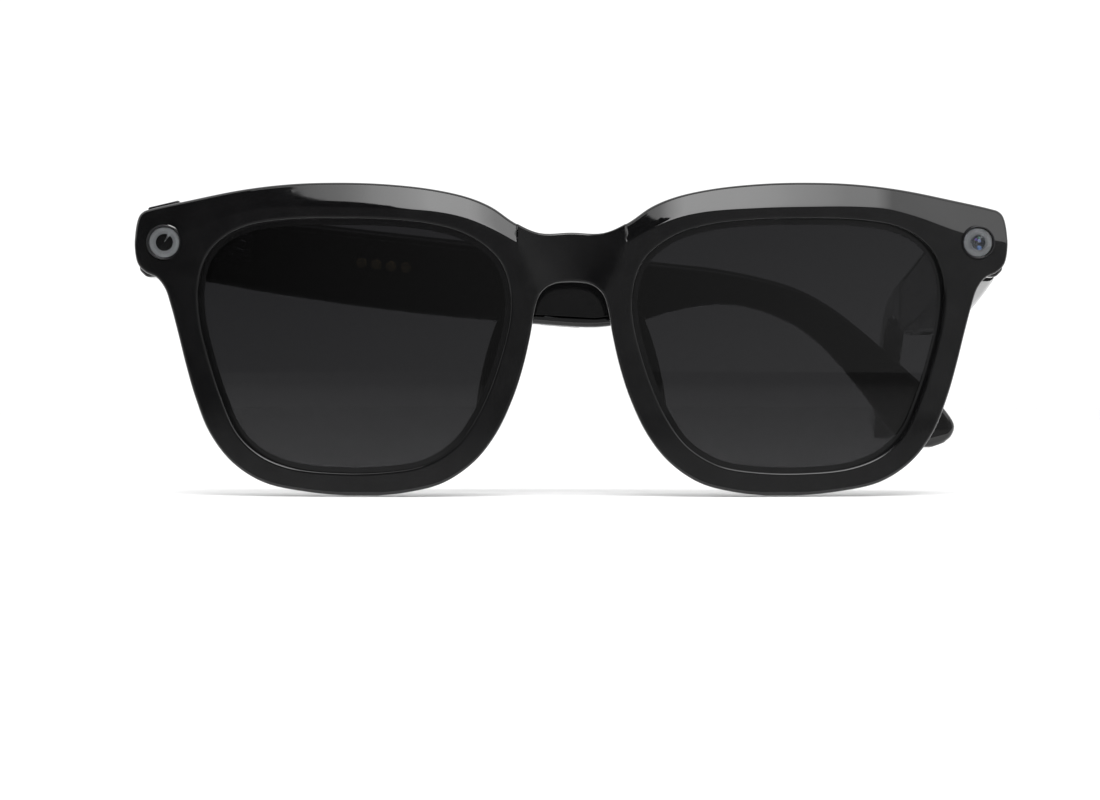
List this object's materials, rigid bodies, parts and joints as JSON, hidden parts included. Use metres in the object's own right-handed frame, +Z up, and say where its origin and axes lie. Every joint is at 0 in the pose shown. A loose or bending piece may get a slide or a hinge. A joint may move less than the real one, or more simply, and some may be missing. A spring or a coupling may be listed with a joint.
{
  "type": "smart glasses",
  "caption": "Black full-rim camera glasses with two folding electronics temples, tinted lenses, a round camera and a round status light.",
  "frame": {"origin": "bottom centre of the whole object's box at rest, level with the lowest edge of the two rims", "axes": "+X towards the wearer's left, +Y from the front towards the ears, +Z up. The lenses face -Y"},
  "size_m": [0.15, 0.1504, 0.0533],
  "materials": {
    "frame_gloss": "deep black, polished to a mirror gloss",
    "lens_tint": "dark grey tinted lens, polished",
    "pad_satin": "black, satin",
    "hinge_steel": "fine brushed",
    "bezel_dark": "black, gloss",
    "eye_window": "clear cover over a pale grey ring",
    "contact_gold": "gold plated, worn smooth",
    "board_green": "solder mask",
    "flex_amber": "polyimide film",
    "cell_foil": "pouch foil",
    "module_black": "moulded black"
  },
  "bodies": {
    "front": {"front_frame": "frame_gloss", "brow_cover": "frame_gloss", "front_flex": "flex_amber", "left_lens": "lens_tint", "right_lens": "lens_tint", "left_nose_pad": "pad_satin", "right_nose_pad": "pad_satin", "camera_bezel": "bezel_dark", "camera_window": "eye_window", "camera_barrel": "bezel_dark", "camera_module": "module_black", "status_bezel": "bezel_dark", "status_window": "eye_window", "status_light": "module_black", "status_board": "board_green", "right_end_cover": "frame_gloss", "left_end_cover": "frame_gloss", "right_front_leaf": "hinge_steel", "left_front_leaf": "hinge_steel", "right_hinge_screw": "hinge_steel", "left_hinge_screw": "hinge_steel", "right_front_rivet_1": "hinge_steel", "right_front_rivet_2": "hinge_steel", "left_front_rivet_1": "hinge_steel", "left_front_rivet_2": "hinge_steel", "capture_switch": "hinge_steel"},
    "capture_key": {"capture_button": "bezel_dark"},
    "right_temple": {"right_temple_shell": "frame_gloss", "right_temple_cover": "frame_gloss", "right_temple_tip": "frame_gloss", "right_tip_core": "hinge_steel", "right_temple_leaf": "hinge_steel", "right_temple_rivet_1": "hinge_steel", "right_temple_rivet_2": "hinge_steel", "right_speaker": "module_black", "right_speaker_grille": "hinge_steel", "right_battery": "cell_foil", "charging_contact_1": "contact_gold", "charging_contact_2": "contact_gold", "charging_contact_3": "contact_gold", "charging_contact_4": "contact_gold", "charging_magnet_1": "hinge_steel", "charging_magnet_2": "hinge_steel", "main_board": "board_green", "processor_shield": "hinge_steel", "touch_sensor": "flex_amber"},
    "left_temple": {"left_temple_shell": "frame_gloss", "left_temple_cover": "frame_gloss", "left_temple_tip": "frame_gloss", "left_tip_core": "hinge_steel", "left_temple_leaf": "hinge_steel", "left_temple_rivet_1": "hinge_steel", "left_temple_rivet_2": "hinge_steel", "left_speaker": "module_black", "left_speaker_grille": "hinge_steel", "left_battery": "cell_foil", "left_board": "board_green", "power_switch_body": "module_black"},
    "power_key": {"power_slider": "bezel_dark"}
  },
  "joints": [
    {"name": "right_temple_fold", "type": "hinge", "parent": "front", "child": "right_temple", "pos_m": [-0.0646, -0.05692, 0.0436], "axis": [0, 0, 1], "range_deg": [0, 90]},
    {"name": "left_temple_fold", "type": "hinge", "parent": "front", "child": "left_temple", "pos_m": [0.0646, -0.05692, 0.0436], "axis": [0, 0, 1], "range_deg": [0, 77]},
    {"name": "capture_press", "type": "slide", "parent": "front", "child": "capture_key", "axis": [0.2283, 0, -0.9736], "range_m": [0, 0.0004], "stiffness_N_per_m": 500},
    {"name": "power_slide", "type": "slide", "parent": "left_temple", "child": "power_key", "axis": [0, 0.9934, -0.1144], "range_m": [0, 0.0024]}
  ]
}
